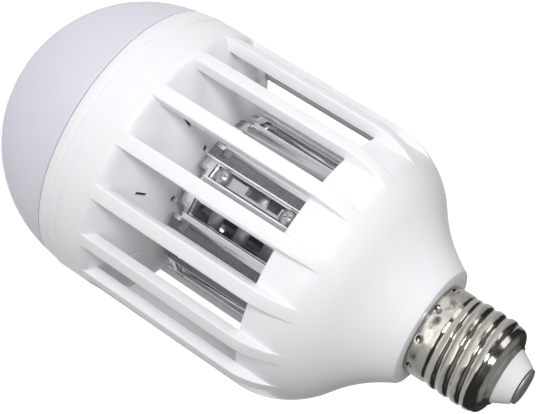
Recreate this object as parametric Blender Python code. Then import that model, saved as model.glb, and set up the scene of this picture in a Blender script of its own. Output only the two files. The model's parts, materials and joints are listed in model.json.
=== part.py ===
# Insect killer light bulb: an LED lamp head, a caged electric grid and an E27 screw cap on one axis.
# The bulb hangs cap up. The origin is the centre of the end contact's face and the axis is Z.
from math import asin, atan2, ceil, cos, pi, radians, sin, sqrt, tau

import bmesh
import bpy
from mathutils import Matrix, Vector

mm = 0.001

# Clearance left between pieces that seat on each other
gap = 0.3 * mm

# Lengths along the axis
cap_height = 28.6 * mm
shoulder_height = 36.0 * mm
slot_start = 35.0 * mm
slot_length = 46.8 * mm
collar_height = 17.8 * mm
dome_height = 35.8 * mm

# Housing
body_radius = 40.5 * mm
neck_radius = 17.0 * mm
shoulder_radius = 26.0 * mm
shoulder_slope = radians(54)
housing_wall = 2.2 * mm
bar_count = 16
bar_width = 4.3 * mm
bar_depth = 3.3 * mm
recess_depth = 3.1 * mm
recess_wall = 2.0 * mm
slot_end_round = 3.0 * mm
first_bar = radians(281.25)
collar_wall = 1.9 * mm
ledge_inset = 1.5 * mm
lip_taper = 0.6 * mm
groove_depth = 0.3 * mm
groove_width = 0.7 * mm
upper_groove = 3.4 * mm
lower_groove = 6.5 * mm
groove_gap_start = radians(333.75)
groove_gap_facets = 4
plate_ledge = 31.0 * mm
ledge_width = 2.0 * mm
spigot_length = 10.0 * mm
spigot_wall = 2.0 * mm

# Lamp head
dome_wall = 1.6 * mm
skirt_length = 4.5 * mm
dome_seat_inset = 0.15 * mm
head_wall = 2.0 * mm
funnel_height = 12.5 * mm
funnel_end_radius = 16.0 * mm
lamp_seat = 8.6 * mm
lamp_board_thickness = 1.6 * mm
lamp_led_count = 12
lamp_led_size = 3.5 * mm
lamp_led_height = 0.8 * mm
lamp_led_circle = 17.0 * mm
lamp_screw_count = 3
lamp_boss_inset = 0.8 * mm
lamp_boss_radius = 3.2 * mm
lead_hole_radius = 4.0 * mm
slit_count = 8
slit_width = 0.9 * mm
slit_length = 3.5 * mm
slit_place = 0.61
drain_hole_radius = 0.9 * mm
drain_hole_place = 0.21
first_slit = radians(256.5)

# Electric grid
outer_grid_radius = 25.0 * mm
outer_grid_sheet = 0.8 * mm
outer_strip_count = 14
outer_strip_width = 5.7 * mm
outer_window_start = 8.7 * mm
outer_window_length = 14.3 * mm
tab_hole_size = 2.3 * mm
tab_hole_drop = 4.5 * mm
tab_notch_width = 2.9 * mm
tab_notch_depth = 2.7 * mm
grid_spacing = 5.0 * mm
inner_grid_sheet = 0.7 * mm
inner_window_count = 10
inner_window_width = 3.0 * mm
inner_window_margin = 8.0 * mm
base_plate_thickness = 2.5 * mm
post_width = 5.0 * mm
post_angles = (radians(270), radians(90))
grid_screw_heights = (6.5 * mm, 27.5 * mm)
core_width = 15.0 * mm
uv_board_width = 7.0 * mm
uv_board_length = 27.0 * mm
uv_board_thickness = 1.0 * mm
uv_board_count = 3
uv_led_count = 3
uv_led_size = 2.8 * mm
uv_led_height = 0.8 * mm
uv_led_pitch = 8.5 * mm

# Pan head screws
screw_radius = 1.1 * mm
lamp_screw_length = 6.0 * mm
screw_head_radius = 2.7 * mm
screw_head_height = 1.6 * mm

# E27 cap
thread_radius = 13.1 * mm
thread_depth = 1.0 * mm
thread_pitch = 3.63 * mm
thread_start = 5.4 * mm
thread_length = 14.5 * mm
shell_bore = 11.7 * mm
shell_sheet = 0.6 * mm
shell_height = 23.2 * mm
shell_mouth_radius = 8.3 * mm
shell_end_drop = 3.4 * mm
dimple_count = 9
dimple_radius = 0.9 * mm
dimple_drop = 1.6 * mm
first_dimple = radians(257)
insulator_tip_radius = 5.4 * mm
insulator_flange = 1.5 * mm
contact_radius = 5.1 * mm
contact_face_radius = 4.4 * mm
contact_thickness = 0.8 * mm
rivet_radius = 1.2 * mm

# Driver
driver_width = 22.0 * mm
driver_length = 24.0 * mm
driver_thickness = 1.6 * mm
transformer_size = (11.0 * mm, 9.0 * mm, 10.0 * mm)
film_capacitor_size = (8.0 * mm, 5.0 * mm, 7.0 * mm)
part_spacing = 1.0 * mm
board_margin = 2.0 * mm
capacitor_radius = 3.6 * mm
capacitor_length = 9.0 * mm
choke_radius = 3.2 * mm
choke_length = 6.0 * mm
lead_radius = 0.6 * mm

# Facets
housing_facets = 48
dome_facets = 40
cap_facets = 32
small_facets = 12

# Levels along the axis, worked out from the lengths above. The cap is at the top.
neck_end = -cap_height
slot_top = neck_end - slot_start
slot_bottom = slot_top - slot_length
lip = slot_bottom - collar_height
body_top = neck_end - shoulder_height
plate_seat = neck_end - plate_ledge
plate_top = plate_seat - gap
plate_bottom = plate_top - base_plate_thickness
grid_top = plate_bottom - gap
funnel_end = slot_bottom + funnel_height
grid_bottom = funnel_end + gap
head_ledge = slot_bottom - ledge_inset
lamp_rim = lip + lamp_seat

# Radii worked out from the sizes above
recess_radius = body_radius - recess_depth
recess_bore = recess_radius - recess_wall
bar_bore = body_radius - bar_depth
collar_bore = body_radius - collar_wall
lip_radius = body_radius - lip_taper
inner_grid_radius = outer_grid_radius - grid_spacing
lamp_screw_circle = funnel_end_radius - lamp_boss_radius - lamp_boss_inset
bar_pitch = tau / bar_count
grid_screw_length = outer_grid_radius - inner_grid_radius - gap


def material(name, colour, roughness, metallic=0.0):
    slot = bpy.data.materials.new(name)
    slot.use_nodes = True
    shader = slot.node_tree.nodes["Principled BSDF"]
    shader.inputs["Base Color"].default_value = (*colour, 1.0)
    shader.inputs["Roughness"].default_value = roughness
    shader.inputs["Metallic"].default_value = metallic
    return slot


def add_object(name, bm, slot, smooth=True):
    bmesh.ops.recalc_face_normals(bm, faces=bm.faces[:])
    mesh = bpy.data.meshes.new(name)
    bm.to_mesh(mesh)
    bm.free()
    if slot:
        mesh.materials.append(slot)
    if smooth:
        mesh.shade_smooth()
        mesh.set_sharp_from_angle(angle=radians(35))
    obj = bpy.data.objects.new(name, mesh)
    bpy.context.scene.collection.objects.link(obj)
    return obj


def make_cutter(name, bm):
    cutter = add_object(name, bm, None, smooth=False)
    cutter.hide_render = True
    cutter.display_type = "WIRE"
    return cutter


def combine(target, tool, operation):
    step = target.modifiers.new(tool.name, "BOOLEAN")
    step.operation = operation
    step.solver = "EXACT"
    step.object = tool


def arc(centre, radius, start, end, steps):
    # Points on an arc in the (radius, height) plane, both ends included
    turn = (end - start) / steps
    return [
        (centre[0] + radius * cos(start + turn * i), centre[1] + radius * sin(start + turn * i))
        for i in range(steps + 1)
    ]


def turn_outline(bm, outline, facets, start=0.0, sweep=tau):
    # Spins an outline of (radius, height) points about Z. An outline that starts and ends on the axis
    # stays open there, and any other is closed. A part turn gets its two end faces.
    on_axis = outline[0][0] == 0 and outline[-1][0] == 0
    verts = [bm.verts.new((r * cos(start), r * sin(start), z)) for r, z in outline]
    pairs = list(zip(verts, verts[1:]))
    if not on_axis:
        pairs.append((verts[-1], verts[0]))
    edges = [bm.edges.new(pair) for pair in pairs]
    whole = abs(sweep - tau) < 1e-9
    bmesh.ops.spin(
        bm,
        geom=verts + edges,
        cent=(0, 0, 0),
        axis=(0, 0, 1),
        angle=sweep,
        steps=facets,
        use_merge=whole,
        use_duplicate=False,
    )
    if on_axis:
        bmesh.ops.remove_doubles(bm, verts=bm.verts[:], dist=1e-7)
    if not whole:
        bmesh.ops.holes_fill(bm, edges=[edge for edge in bm.edges if edge.is_boundary])


def turned(name, outline, facets, slot, start=0.0):
    bm = bmesh.new()
    turn_outline(bm, outline, facets, start)
    return add_object(name, bm, slot)


def add_box(bm, size, centre, angle=0.0):
    # A box centred at a point in a frame turned about Z by the angle
    spin = Matrix.Rotation(angle, 4, "Z")
    place = spin @ Matrix.Translation(centre) @ Matrix.Diagonal((*size, 1.0))
    bmesh.ops.create_cube(bm, size=1.0, matrix=place)


def box(name, size, centre, slot, angle=0.0):
    bm = bmesh.new()
    add_box(bm, size, centre, angle)
    return add_object(name, bm, slot, smooth=False)


def add_rod(bm, radius, length, centre, direction=(0, 0, 1), facets=small_facets):
    turn = Vector((0, 0, 1)).rotation_difference(Vector(direction)).to_matrix().to_4x4()
    bmesh.ops.create_cone(
        bm,
        cap_ends=True,
        segments=facets,
        radius1=radius,
        radius2=radius,
        depth=length,
        matrix=Matrix.Translation(centre) @ turn,
    )


def rod(name, radius, length, centre, slot, direction=(0, 0, 1), facets=small_facets):
    bm = bmesh.new()
    add_rod(bm, radius, length, centre, direction, facets)
    return add_object(name, bm, slot)


def ring_place(radius, angle, height):
    return Vector((radius * cos(angle), radius * sin(angle), height))


def pan_screw(name, seat, outward, length, slot):
    # The head's underside lies one gap off the seat, and the shank runs in against the outward direction
    rise = screw_head_height
    outline = [(0, gap + rise)]
    outline += arc((screw_head_radius - rise, gap), rise, pi / 2, 0, 3)
    outline += [(screw_radius, gap), (screw_radius, gap - length), (0, gap - length)]
    bm = bmesh.new()
    turn_outline(bm, outline, small_facets)
    turn = Vector((0, 0, 1)).rotation_difference(Vector(outward)).to_matrix().to_4x4()
    bmesh.ops.transform(bm, matrix=Matrix.Translation(seat) @ turn, verts=bm.verts[:])
    return add_object(name, bm, slot)


def shoulder_arcs():
    # A convex arc from the straight body and a hollow arc on to the neck, tangent where they meet.
    # Each is a centre, a radius and its two angles.
    centre = (body_radius - shoulder_radius, body_top)
    bend = pi / 2 - shoulder_slope
    meet = (
        centre[0] + shoulder_radius * cos(shoulder_slope),
        centre[1] + shoulder_radius * sin(shoulder_slope),
    )
    normal = (cos(shoulder_slope), sin(shoulder_slope))
    reach = (neck_radius - meet[0], neck_end - meet[1])
    flare = (reach[0] ** 2 + reach[1] ** 2) / (2 * (reach[0] * normal[0] + reach[1] * normal[1]))
    far = (meet[0] + flare * normal[0], meet[1] + flare * normal[1])
    end = atan2(neck_end - far[1], neck_radius - far[0])
    start = atan2(meet[1] - far[1], meet[0] - far[0])
    if end > 0:
        end -= tau
    if start > 0:
        start -= tau
    return (centre, shoulder_radius, 0.0, pi / 2 - bend), (far, flare, start, end)


def housing_outline():
    convex, hollow = shoulder_arcs()
    outer = arc(convex[0], convex[1], convex[2], convex[3], 6)
    outer += arc(hollow[0], hollow[1], hollow[2], hollow[3], 5)[1:]
    # The inner wall keeps the same centres. It starts where the offset arc is as narrow as the ledge.
    inner_radius = convex[1] - housing_wall
    ledge_radius = recess_bore - ledge_width
    from_centre = (ledge_radius - convex[0][0]) / inner_radius
    inner_start = pi / 2 - asin(from_centre)
    inner = arc(convex[0], inner_radius, inner_start, convex[3], 2)
    inner += arc(hollow[0], hollow[1] + housing_wall, hollow[2], hollow[3], 3)[1:]
    spigot_radius = shell_bore - gap
    bore = spigot_radius - spigot_wall
    inner = [point for point in inner if point[0] > bore and point[1] < neck_end - housing_wall]
    outline = [
        (collar_bore, lip),
        (lip_radius, lip),
        (body_radius - lip_taper / 4, lip + upper_groove - groove_width / 2),
        (body_radius - groove_depth, lip + upper_groove),
        (body_radius, lip + upper_groove + groove_width / 2),
    ]
    outline += outer
    outline += [
        (spigot_radius, neck_end),
        (spigot_radius, neck_end + spigot_length),
        (bore, neck_end + spigot_length),
        (bore, neck_end - housing_wall),
    ]
    outline += list(reversed(inner))
    outline += [
        (ledge_radius, plate_seat),
        (recess_bore, plate_seat),
        (recess_bore, slot_top),
        (bar_bore, slot_top),
        (bar_bore, head_ledge),
        (collar_bore, head_ledge),
    ]
    return outline


def main_housing(slot):
    housing = turned("main_housing", housing_outline(), housing_facets, slot, first_bar)
    beyond = body_radius + 4 * mm
    inside = recess_bore - 1 * mm
    slot_sweep = bar_pitch - bar_width / body_radius
    round_centre = (body_radius - slot_end_round, slot_bottom - slot_end_round)
    rounding = arc(round_centre, slot_end_round, 0.0, pi / 2, 3)
    # Each slot runs on up the shoulder as a shallow recess between the bars' ribs
    slot_shape = [
        (inside, slot_top),
        (recess_radius, slot_top),
        (recess_radius, neck_end - housing_wall),
        (beyond, neck_end - housing_wall),
        (beyond, round_centre[1]),
    ]
    slot_shape += rounding
    slot_shape += [(inside, slot_bottom)]
    slots = bmesh.new()
    for i in range(bar_count):
        start = first_bar + bar_pitch * (i + 0.5) - slot_sweep / 2
        turn_outline(slots, slot_shape, 3, start, slot_sweep)
    combine(housing, make_cutter("slot_cutter", slots), "DIFFERENCE")
    # The lower groove leaves one stretch of the collar plain
    grooves = bmesh.new()
    level = lip + lower_groove
    shape = [
        (body_radius - groove_depth, level),
        (body_radius + groove_depth, level - groove_width),
        (body_radius + groove_depth, level + groove_width),
    ]
    facet = tau / housing_facets
    start = groove_gap_start + groove_gap_facets * facet
    turned_facets = housing_facets - groove_gap_facets
    turn_outline(grooves, shape, turned_facets, start, turned_facets * facet)
    combine(housing, make_cutter("groove_cutter", grooves), "DIFFERENCE")
    return housing


def dome_centre():
    # The sphere through the dome's seat and its tip
    seat_radius = lip_radius - dome_seat_inset
    radius = (seat_radius**2 + dome_height**2) / (2 * dome_height)
    tip = lip - gap - dome_height
    return tip + radius, radius, seat_radius


def diffuser_dome(slot):
    level, radius, seat_radius = dome_centre()
    skirt_radius = collar_bore - gap
    skirt_bore = skirt_radius - dome_wall
    inner_radius = radius - dome_wall
    seat = lip - gap
    rim = atan2(seat - level, seat_radius)
    inner_rim = -asin(sqrt(1 - (skirt_bore / inner_radius) ** 2))
    outline = arc((0, level), radius, -pi / 2, rim, 10)
    outline[0] = (0, outline[0][1])
    outline += [(skirt_radius, seat), (skirt_radius, seat + skirt_length), (skirt_bore, seat + skirt_length)]
    outline += arc((0, level), inner_radius, inner_rim, -pi / 2, 5)
    outline[-1] = (0, outline[-1][1])
    return turned("diffuser_dome", outline, dome_facets, slot)


def head_base(slot):
    # A cup whose cone comes down from the ledge to the end plate over the grid
    rim_radius = collar_bore - gap
    rim_bore = rim_radius - head_wall
    cone_radius = bar_bore - gap
    shelf = head_ledge - gap
    plate = funnel_end - head_wall
    slope = (slot_bottom - funnel_end) / (cone_radius - funnel_end_radius)
    # The cone's under side lies one wall off its face
    drop = head_wall * sqrt(1 + slope**2)
    under_radius = funnel_end_radius - (drop - head_wall) / -slope
    under_level = funnel_end - drop + slope * (rim_bore - funnel_end_radius)
    outline = [
        (0, funnel_end),
        (funnel_end_radius, funnel_end),
        (cone_radius, slot_bottom),
        (cone_radius, shelf),
        (rim_radius, shelf),
        (rim_radius, lamp_rim),
        (rim_bore, lamp_rim),
        (rim_bore, min(under_level, shelf - head_wall)),
        (under_radius, plate),
        (0, plate),
    ]
    base = turned("head_base", outline, dome_facets, slot)
    bosses = bmesh.new()
    boss_top = funnel_end - head_wall / 2
    for i in range(lamp_screw_count):
        angle = tau * i / lamp_screw_count
        middle = ring_place(lamp_screw_circle, angle, (boss_top + lamp_rim) / 2)
        add_rod(bosses, lamp_boss_radius, boss_top - lamp_rim, middle)
    combine(base, make_cutter("boss_tool", bosses), "UNION")
    cuts = bmesh.new()
    for i in range(lamp_screw_count):
        angle = tau * i / lamp_screw_count
        depth = lamp_screw_length + 1 * mm
        add_rod(cuts, screw_radius + gap, 2 * depth, ring_place(lamp_screw_circle, angle, lamp_rim))
    add_rod(cuts, lead_hole_radius, 4 * head_wall, (0, 0, boss_top))
    width = cone_radius - funnel_end_radius
    slit_middle = funnel_end_radius + slit_place * width
    slit_level = funnel_end + slope * slit_place * width
    hole_circle = funnel_end_radius + drain_hole_place * width
    hole_level = funnel_end + slope * drain_hole_place * width
    for i in range(slit_count):
        angle = first_slit + tau * i / slit_count
        add_box(cuts, (slit_length, slit_width, 4 * head_wall), (slit_middle, 0, slit_level), angle)
        add_rod(cuts, drain_hole_radius, 4 * head_wall, ring_place(hole_circle, angle, hole_level), facets=8)
    combine(base, make_cutter("head_cutter", cuts), "DIFFERENCE")
    return base


def lamp_board(slot):
    radius = collar_bore - 2 * gap
    front = lamp_rim - gap
    bm = bmesh.new()
    add_rod(bm, radius, lamp_board_thickness, (0, 0, front - lamp_board_thickness / 2), facets=dome_facets)
    board = add_object("lamp_board", bm, slot)
    holes = bmesh.new()
    for i in range(lamp_screw_count):
        angle = tau * i / lamp_screw_count
        add_rod(holes, screw_radius + gap, 4 * lamp_board_thickness, ring_place(lamp_screw_circle, angle, front))
    add_rod(holes, lead_hole_radius, 4 * lamp_board_thickness, (0, 0, front))
    combine(board, make_cutter("lamp_board_cutter", holes), "DIFFERENCE")
    return front - lamp_board_thickness


def lamp_head(white, board_metal, led_white, steel):
    head_base(white)
    face = lamp_board(board_metal)
    for i in range(lamp_led_count):
        angle = tau * (i + 0.5) / lamp_led_count
        size = (lamp_led_size, lamp_led_size, lamp_led_height)
        centre = (lamp_led_circle, 0, face - gap - lamp_led_height / 2)
        box(f"lamp_led_{i + 1}", size, centre, led_white, angle)
    for i in range(lamp_screw_count):
        angle = tau * i / lamp_screw_count
        seat = ring_place(lamp_screw_circle, angle, face)
        pan_screw(f"lamp_screw_{i + 1}", seat, (0, 0, -1), lamp_screw_length, steel)


def grid_outer(slot):
    inside = outer_grid_radius - outer_grid_sheet
    outline = [
        (inside, grid_bottom),
        (outer_grid_radius, grid_bottom),
        (outer_grid_radius, grid_top),
        (inside, grid_top),
    ]
    # Each strip and each window is one flat
    pitch = tau / outer_strip_count
    cage = turned("grid_outer", outline, 2 * outer_strip_count, slot, first_bar + pitch / 4)
    window_width = pitch * outer_grid_radius - outer_strip_width
    depth = 4 * outer_grid_sheet
    middle = outer_grid_radius - outer_grid_sheet / 2
    cuts = bmesh.new()
    for i in range(outer_strip_count):
        strip = first_bar + pitch * i
        level = grid_top - outer_window_start - outer_window_length / 2
        add_box(cuts, (depth, window_width, outer_window_length), (middle, 0, level), strip + pitch / 2)
        level = grid_bottom + tab_hole_drop
        add_box(cuts, (depth, tab_hole_size, tab_hole_size), (middle, 0, level), strip)
        level = grid_bottom
        add_box(cuts, (depth, tab_notch_width, 2 * tab_notch_depth), (middle, 0, level), strip + pitch / 4)
    for angle in post_angles:
        for height in grid_screw_heights:
            centre = ring_place(middle, angle, grid_top - height)
            add_rod(cuts, screw_radius + gap, depth, centre, (cos(angle), sin(angle), 0))
    combine(cage, make_cutter("outer_grid_cutter", cuts), "DIFFERENCE")
    return cage


def grid_inner(slot):
    inside = inner_grid_radius - inner_grid_sheet
    outline = [
        (inside, grid_bottom),
        (inner_grid_radius, grid_bottom),
        (inner_grid_radius, grid_top),
        (inside, grid_top),
    ]
    cage = turned("grid_inner", outline, 3 * inner_window_count, slot)
    length = grid_top - grid_bottom - 2 * inner_window_margin
    cuts = bmesh.new()
    for i in range(inner_window_count):
        angle = first_bar + tau * (i + 0.5) / inner_window_count
        size = (4 * inner_grid_sheet, inner_window_width, length)
        add_box(cuts, size, (inner_grid_radius, 0, (grid_top + grid_bottom) / 2), angle)
    combine(cage, make_cutter("inner_grid_cutter", cuts), "DIFFERENCE")
    return cage


def grid_base(slot):
    # The plate on the housing's ledge, with the two posts that the cages are screwed to
    radius = recess_bore - gap
    outline = [
        (lead_hole_radius, plate_bottom),
        (radius, plate_bottom),
        (radius, plate_top),
        (lead_hole_radius, plate_top),
    ]
    plate = turned("grid_base", outline, dome_facets, slot)
    post_outer = outer_grid_radius - outer_grid_sheet - gap
    post_inner = inner_grid_radius + gap
    post_end = grid_bottom + tab_notch_depth
    root = plate_bottom + base_plate_thickness / 2
    posts = bmesh.new()
    pilots = bmesh.new()
    for angle in post_angles:
        size = (post_outer - post_inner, post_width, root - post_end)
        centre = ((post_outer + post_inner) / 2, 0, (root + post_end) / 2)
        add_box(posts, size, centre, angle)
        for height in grid_screw_heights:
            centre = ring_place(outer_grid_radius, angle, grid_top - height)
            add_rod(pilots, screw_radius + gap, 4 * grid_screw_length, centre, (cos(angle), sin(angle), 0))
    combine(plate, make_cutter("post_tool", posts), "UNION")
    combine(plate, make_cutter("post_cutter", pilots), "DIFFERENCE")
    return plate


def light_core(slot):
    # A hexagonal post with a bore for the leads. Alternate faces carry the light boards.
    length = grid_top - grid_bottom
    bm = bmesh.new()
    add_rod(bm, core_width / 2 / cos(pi / 6), length, (0, 0, (grid_top + grid_bottom) / 2), facets=6)
    core = add_object("light_core", bm, slot, smooth=False)
    bore = bmesh.new()
    add_rod(bore, lead_hole_radius, 2 * length, (0, 0, grid_bottom))
    combine(core, make_cutter("core_cutter", bore), "DIFFERENCE")
    return core


def uv_lights(board_slot, led_slot):
    middle = (grid_top + grid_bottom) / 2
    for i in range(uv_board_count):
        angle = pi / 3 + tau * i / uv_board_count
        back = core_width / 2 + gap
        size = (uv_board_thickness, uv_board_width, uv_board_length)
        box(f"uv_board_{i + 1}", size, (back + uv_board_thickness / 2, 0, middle), board_slot, angle)
        face = back + uv_board_thickness + gap
        for k in range(uv_led_count):
            level = middle + uv_led_pitch * (k - (uv_led_count - 1) / 2)
            size = (uv_led_height, uv_led_size, uv_led_size)
            box(f"uv_led_{i + 1}_{k + 1}", size, (face + uv_led_height / 2, 0, level), led_slot, angle)


def electric_grid(steel, white, board_slot, led_slot):
    grid_outer(steel)
    grid_inner(steel)
    grid_base(white)
    light_core(white)
    uv_lights(board_slot, led_slot)
    number = 0
    for angle in post_angles:
        for height in grid_screw_heights:
            number += 1
            seat = ring_place(outer_grid_radius, angle, grid_top - height)
            pan_screw(f"grid_screw_{number}", seat, (cos(angle), sin(angle), 0), grid_screw_length, steel)


def thread_swell(angle, height):
    # Height of the rolled thread over its root at one point of the shell. It fades in and out at its ends.
    above = height - (neck_end + thread_start)
    if above < 0 or above > thread_length:
        return 0.0
    wave = 0.5 - 0.5 * cos(tau * (above / thread_pitch - angle / tau))
    fade = min(above, thread_length - above) / (thread_pitch / 2)
    return thread_depth * wave * min(fade, 1.0)


def screw_shell(slot):
    rim = neck_end + gap
    root = thread_radius - thread_depth
    end_start = neck_end + shell_height - shell_end_drop
    rows = ceil((end_start - rim) / (thread_pitch / 5.5))
    step = (end_start - rim) / rows
    levels = [rim + step * i for i in range(rows + 1)]
    mouth = neck_end + shell_height
    bore_end = end_start - shell_sheet
    bm = bmesh.new()
    rings = []
    for level in levels:
        # The plain collar by the neck is nearly as wide as the thread's crests
        plain = (thread_radius - root - 0.2 * mm) * max(0.0, 1 - max(0.0, level - rim - 3.2 * mm) / (1.6 * mm))
        ring = []
        for k in range(cap_facets):
            angle = tau * k / cap_facets
            radius = root + max(plain, thread_swell(angle, level))
            ring.append(bm.verts.new(ring_place(radius, angle, level)))
        rings.append(ring)
    end_curve = (
        (root + shell_mouth_radius) / 2 + 0.9 * mm,
        end_start + shell_end_drop * 0.62,
    )
    for radius, level in (
        end_curve,
        (shell_mouth_radius, mouth),
        (shell_mouth_radius, mouth - shell_sheet),
        (end_curve[0] - shell_sheet, end_curve[1] - shell_sheet),
        (shell_bore, bore_end),
        (shell_bore, rim),
    ):
        rings.append([bm.verts.new(ring_place(radius, tau * k / cap_facets, level)) for k in range(cap_facets)])
    for one, two in zip(rings, rings[1:] + rings[:1]):
        for k in range(cap_facets):
            after = (k + 1) % cap_facets
            bm.faces.new((one[k], one[after], two[after], two[k]))
    shell = add_object("screw_shell", bm, slot)
    dimples = bmesh.new()
    for i in range(dimple_count):
        angle = first_dimple + tau * i / dimple_count
        place = Matrix.Translation(ring_place(thread_radius, angle, neck_end + dimple_drop))
        bmesh.ops.create_icosphere(dimples, subdivisions=1, radius=dimple_radius, matrix=place)
    combine(shell, make_cutter("dimple_cutter", dimples), "DIFFERENCE")
    return shell


def cap_insulator(slot):
    # The flange lies inside the shell's turned end, and the cone stands out through its mouth
    mouth = neck_end + shell_height
    neck = shell_mouth_radius - gap
    flange_radius = shell_bore - gap - 1.5 * mm
    flange_top = mouth - shell_end_drop - shell_sheet
    bore = rivet_radius + gap
    outline = [
        (bore, flange_top - insulator_flange),
        (flange_radius, flange_top - insulator_flange),
        (flange_radius, flange_top),
        (neck, mouth - shell_sheet - gap),
        (neck, mouth),
        (insulator_tip_radius, -contact_thickness - gap),
        (bore, -contact_thickness - gap),
    ]
    return turned("cap_insulator", outline, cap_facets, slot)


def end_contact(slot):
    shank = neck_end + shell_height - shell_end_drop
    outline = [
        (0, shank),
        (rivet_radius, shank),
        (rivet_radius, -contact_thickness),
        (contact_radius, -contact_thickness),
        (contact_radius, -contact_thickness / 2),
        (contact_face_radius, 0),
        (0, 0),
    ]
    return turned("end_contact", outline, 24, slot)


def e27_cap(nickel, white, contact_metal):
    screw_shell(nickel)
    cap_insulator(white)
    end_contact(contact_metal)


def driver(board_slot, coil_slot, sleeve_slot, film_slot, wire_slot):
    # The board stands on edge under the grid's base plate, with its parts on both faces
    lower = plate_seat + gap
    middle = lower + driver_length / 2
    box("driver_board", (driver_width, driver_thickness, driver_length), (0, 0, middle), board_slot)
    face = driver_thickness / 2 + gap
    foot = lower + board_margin
    width, depth, height = transformer_size
    # The transformer and the choke share one face, side by side about the middle
    left = -(width + part_spacing + 2 * choke_radius) / 2
    place = (left + width / 2, face + depth / 2, foot + height / 2)
    box("driver_transformer", transformer_size, place, coil_slot)
    place = (left + width + part_spacing + choke_radius, face + choke_radius, foot + choke_length / 2)
    rod("driver_choke", choke_radius, choke_length, place, coil_slot)
    # The two capacitors share the other face
    width, depth, height = film_capacitor_size
    left = -(2 * capacitor_radius + part_spacing + width) / 2
    place = (left + capacitor_radius, -face - capacitor_radius, foot + capacitor_length / 2)
    rod("driver_capacitor", capacitor_radius, capacitor_length, place, sleeve_slot)
    place = (left + 2 * capacitor_radius + part_spacing + width / 2, -face - depth / 2, foot + height / 2)
    box("driver_film_capacitor", film_capacitor_size, place, film_slot)
    start = lower + driver_length + gap
    end = neck_end + shell_height - shell_end_drop - gap
    rod("contact_lead", lead_radius, end - start, (0, 0, (start + end) / 2), wire_slot, facets=8)


def clear_scene():
    for obj in list(bpy.data.objects):
        bpy.data.objects.remove(obj, do_unlink=True)


def build():
    clear_scene()
    white = material("white_plastic", (0.86, 0.87, 0.88), 0.3)
    diffuser = material("frosted_diffuser", (0.74, 0.74, 0.82), 0.55)
    steel = material("grid_steel", (0.62, 0.63, 0.64), 0.25, 1.0)
    nickel = material("nickel_plate", (0.66, 0.65, 0.61), 0.18, 1.0)
    contact_metal = material("contact_metal", (0.3, 0.3, 0.31), 0.4, 1.0)
    insulator = material("insulator_white", (0.85, 0.86, 0.85), 0.35)
    board_metal = material("board_aluminium", (0.8, 0.81, 0.82), 0.45, 1.0)
    board_green = material("board_laminate", (0.05, 0.2, 0.1), 0.5)
    led_white = material("led_phosphor", (0.85, 0.75, 0.35), 0.4)
    led_violet = material("uv_led", (0.35, 0.25, 0.6), 0.3)
    coil = material("coil_black", (0.05, 0.05, 0.05), 0.5)
    sleeve = material("capacitor_sleeve", (0.06, 0.07, 0.1), 0.35)
    film = material("film_capacitor", (0.55, 0.08, 0.06), 0.4)
    wire = material("lead_wire", (0.5, 0.04, 0.03), 0.5)

    main_housing(white)
    diffuser_dome(diffuser)
    lamp_head(white, board_metal, led_white, steel)
    electric_grid(steel, white, board_green, led_violet)
    e27_cap(nickel, insulator, contact_metal)
    driver(board_green, coil, sleeve, film, wire)


build()
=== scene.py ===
import json
import math

import bmesh
import bpy
from mathutils import Matrix, Vector


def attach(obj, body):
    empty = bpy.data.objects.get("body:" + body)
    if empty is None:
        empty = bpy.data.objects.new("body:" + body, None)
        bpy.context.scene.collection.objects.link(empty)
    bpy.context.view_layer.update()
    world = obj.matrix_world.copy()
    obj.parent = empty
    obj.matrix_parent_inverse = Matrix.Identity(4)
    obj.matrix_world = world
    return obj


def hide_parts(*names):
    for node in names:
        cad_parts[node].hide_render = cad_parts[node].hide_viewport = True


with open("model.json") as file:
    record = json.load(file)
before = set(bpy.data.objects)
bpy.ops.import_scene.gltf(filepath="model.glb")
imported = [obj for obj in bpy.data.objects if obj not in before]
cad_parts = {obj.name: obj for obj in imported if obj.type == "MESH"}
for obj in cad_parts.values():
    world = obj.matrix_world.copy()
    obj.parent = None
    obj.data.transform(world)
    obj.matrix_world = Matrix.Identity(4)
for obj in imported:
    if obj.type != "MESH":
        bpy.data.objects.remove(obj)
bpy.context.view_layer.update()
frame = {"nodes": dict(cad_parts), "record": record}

# Values are in millimetres and degrees. A drop is counted from the neck's end face towards the dome.
mm = 0.001
turn = 2 * math.pi
capHeight = 28.6  # from the neck's end face up to the contact's face
joinDistance = 0.004 * mm  # corners of neighbouring copies that lie this close become one
hair = 1e-6  # slack where lengths are compared


def heightOf(drop):
    return -(capHeight + drop) * mm


def pointAt(radius, angle, drop):
    return (radius * mm * math.cos(angle), radius * mm * math.sin(angle), heightOf(drop))


# Helpers for node trees and materials


def hexColour(code):
    channels = [int(code[i : i + 2], 16) / 255 for i in (1, 3, 5)]
    return (*[c / 12.92 if c <= 0.04045 else ((c + 0.055) / 1.055) ** 2.4 for c in channels], 1.0)


def setInputs(tree, node, inputs):
    # Each input, by name or number, gets a value, a socket, or a node that stands for its first output
    for name, value in inputs.items():
        socket = node.inputs[name]
        if isinstance(value, bpy.types.Node):
            value = value.outputs[0]
        if isinstance(value, bpy.types.NodeSocket):
            tree.links.new(value, socket)
        else:
            socket.default_value = value


def addNode(tree, kind, inputs=None, **settings):
    node = tree.nodes.new(kind)
    for name, value in settings.items():
        setattr(node, name, value)
    setInputs(tree, node, inputs or {})
    return node


def compute(tree, operation, *values):
    return addNode(tree, "ShaderNodeMath", dict(enumerate(values)), operation=operation)


def newMaterial(name, inputs):
    material = bpy.data.materials.new(name)
    material.use_nodes = True
    tree = material.node_tree
    shader = tree.nodes["Principled BSDF"]
    setInputs(tree, shader, inputs)
    return material, tree, shader


print("materials")

# Patterns with their sizes in mm, on a material's own coordinates


def patchesOf(tree, place, size, detail=2.0):
    return addNode(tree, "ShaderNodeTexNoise", {"Vector": place, "Scale": 1 / (size * mm), "Detail": detail})


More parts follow.
